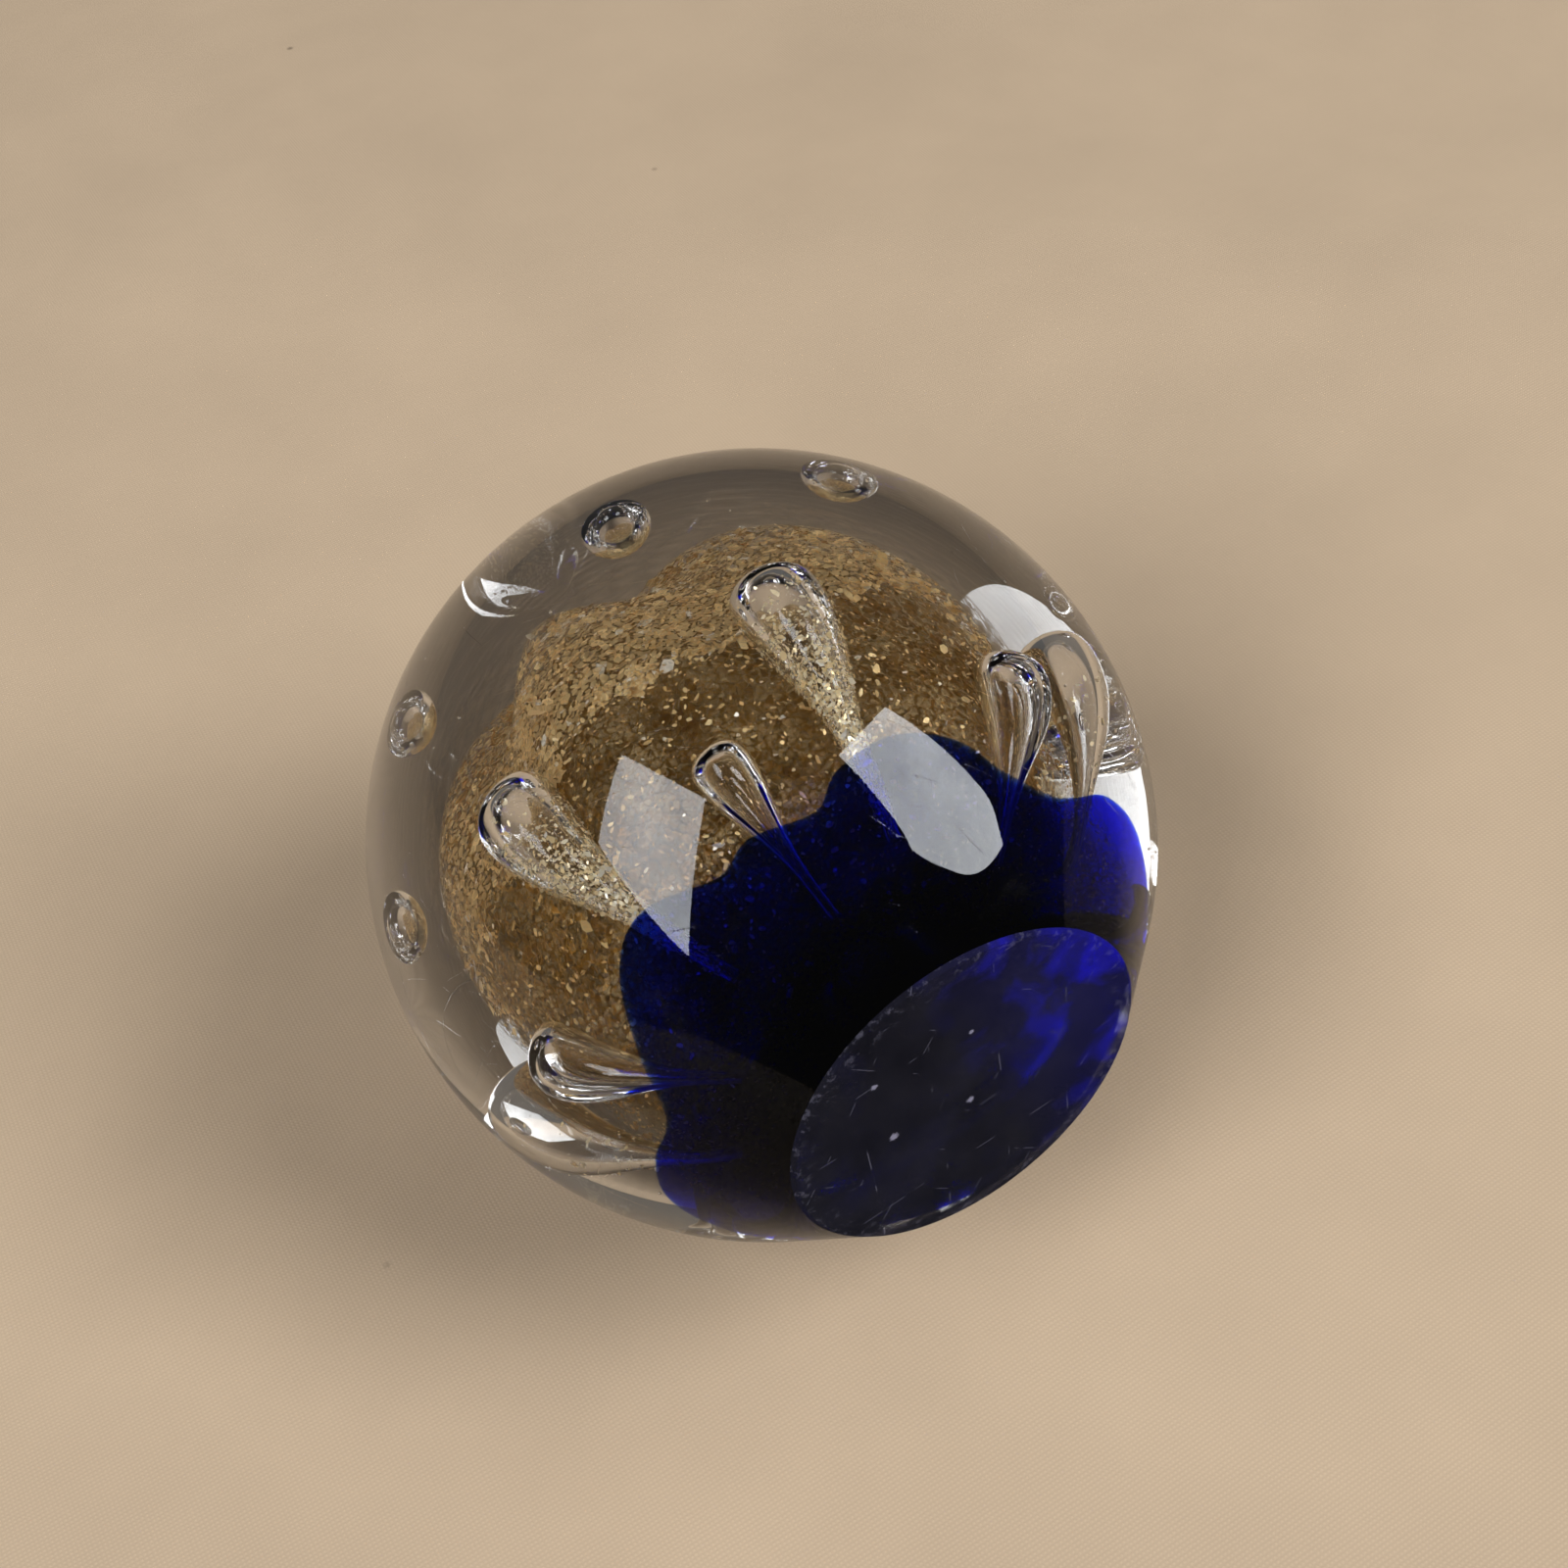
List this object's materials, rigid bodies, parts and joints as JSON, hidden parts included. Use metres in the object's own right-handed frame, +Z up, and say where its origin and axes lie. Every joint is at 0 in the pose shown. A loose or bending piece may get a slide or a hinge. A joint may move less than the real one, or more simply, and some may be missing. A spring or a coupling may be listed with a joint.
{
  "type": "paperweight",
  "caption": "Near-round clear glass ball on a ground flat foot, holding a cobalt petal cup, a ribbed veil of gold mica flakes and trapped air drops; holds papers down on a desk.",
  "frame": {"origin": "centre of the ground flat foot", "axes": "+Z up along the axis of the ball, from the foot through the crown; -Y looks at the shallower valley between two petals"},
  "size_m": [0.0792, 0.0796, 0.079],
  "materials": {
    "crystal": "fire-polished clear lead crystal, ground flat under the foot",
    "mica": "gold-brown mica flakes laid in clear glass",
    "cobalt": "transparent deep cobalt blue glass, fine-ground on the foot",
    "air": "trapped air, mirror-bright at its skin"
  },
  "bodies": {
    "root": {"crystal_casing": "crystal", "inner_gather": "crystal", "core_gather": "crystal", "mica_veil": "mica", "cobalt_cup": "cobalt", "lower_teardrop_1": "air", "lower_teardrop_2": "air", "lower_teardrop_3": "air", "lower_teardrop_4": "air", "lower_teardrop_5": "air", "upper_teardrop_1": "air", "upper_teardrop_2": "air", "upper_teardrop_3": "air", "upper_teardrop_4": "air", "upper_teardrop_5": "air", "air_bead_1": "air", "air_bead_2": "air", "air_bead_3": "air", "air_bead_4": "air", "air_bead_5": "air", "air_bead_6": "air", "air_bead_7": "air", "air_bead_8": "air"}
  },
  "joints": []
}
